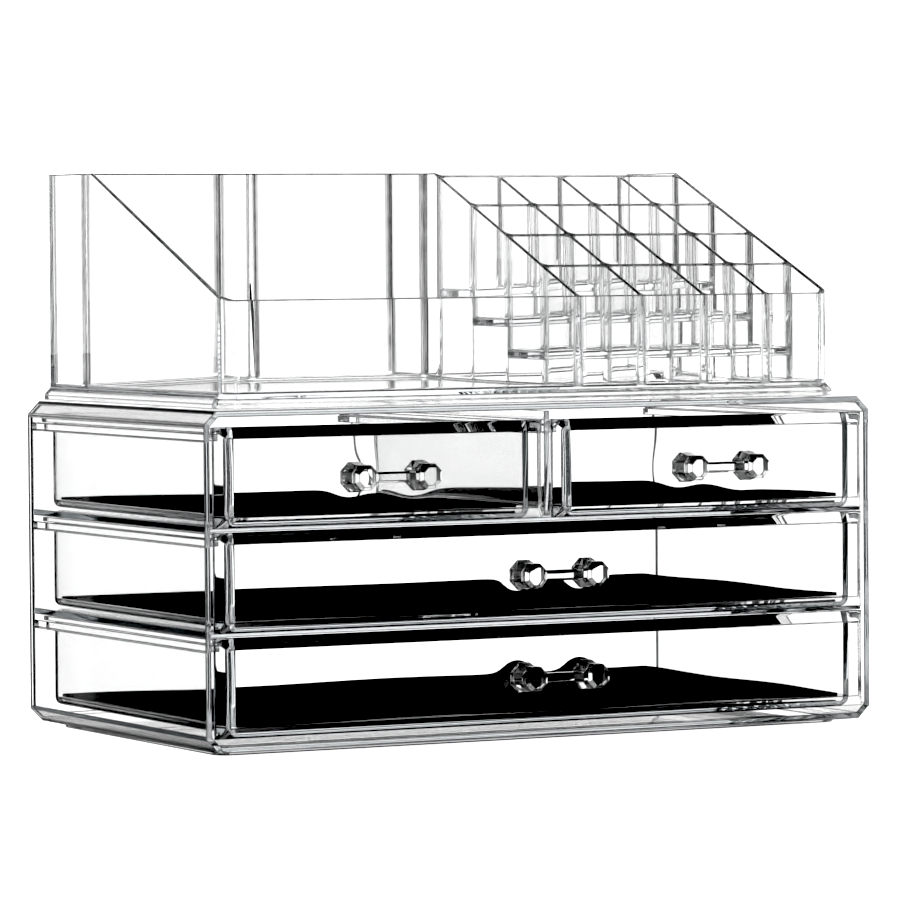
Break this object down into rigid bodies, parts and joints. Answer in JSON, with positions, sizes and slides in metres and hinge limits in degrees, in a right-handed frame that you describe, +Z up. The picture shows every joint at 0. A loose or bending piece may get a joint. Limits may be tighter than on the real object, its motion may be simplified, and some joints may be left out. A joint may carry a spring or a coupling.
{
  "type": "acrylic makeup organizer",
  "caption": "Clear acrylic makeup organizer: a casing with bevelled sliding drawers and a loose sloping tray with lipstick slots on top.",
  "frame": {"origin": "on the table, at the middle of the object's box", "axes": "+Z up, the drawers open towards -Y, +X to the viewer's right"},
  "size_m": [0.238, 0.1496, 0.1801],
  "materials": {
    "clear_acrylic": "polished",
    "black_liner": "matte felt"
  },
  "bodies": {
    "cabinet": {"casing": "clear_acrylic", "back_panel": "clear_acrylic", "upper_shelf": "clear_acrylic", "lower_shelf": "clear_acrylic", "centre_divider": "clear_acrylic"},
    "small_left_drawer": {"small_left_box": "clear_acrylic", "small_left_front": "clear_acrylic", "small_left_handle": "clear_acrylic", "small_left_liner": "black_liner"},
    "small_right_drawer": {"small_right_box": "clear_acrylic", "small_right_front": "clear_acrylic", "small_right_handle": "clear_acrylic", "small_right_liner": "black_liner"},
    "middle_drawer": {"middle_box": "clear_acrylic", "middle_front": "clear_acrylic", "middle_handle": "clear_acrylic", "middle_liner": "black_liner"},
    "lower_drawer": {"lower_box": "clear_acrylic", "lower_front": "clear_acrylic", "lower_handle": "clear_acrylic", "lower_liner": "black_liner"},
    "tray": {"organizer_tray": "clear_acrylic", "rear_divider": "clear_acrylic", "rear_partition": "clear_acrylic", "lipstick_steps": "clear_acrylic", "lipstick_wall_1": "clear_acrylic", "lipstick_wall_2": "clear_acrylic", "lipstick_wall_3": "clear_acrylic", "lipstick_wall_4": "clear_acrylic"}
  },
  "joints": [
    {"name": "small_left_slide", "type": "slide", "parent": "cabinet", "child": "small_left_drawer", "axis": [0, -1, 0], "range_m": [0, 0.105]},
    {"name": "small_right_slide", "type": "slide", "parent": "cabinet", "child": "small_right_drawer", "axis": [0, -1, 0], "range_m": [0, 0.105]},
    {"name": "middle_slide", "type": "slide", "parent": "cabinet", "child": "middle_drawer", "axis": [0, -1, 0], "range_m": [0, 0.105]},
    {"name": "lower_slide", "type": "slide", "parent": "cabinet", "child": "lower_drawer", "axis": [0, -1, 0], "range_m": [0, 0.105]},
    {"name": "tray_lift", "type": "slide", "parent": "cabinet", "child": "tray", "axis": [0, 0, 1], "range_m": [0, 0.12]}
  ]
}
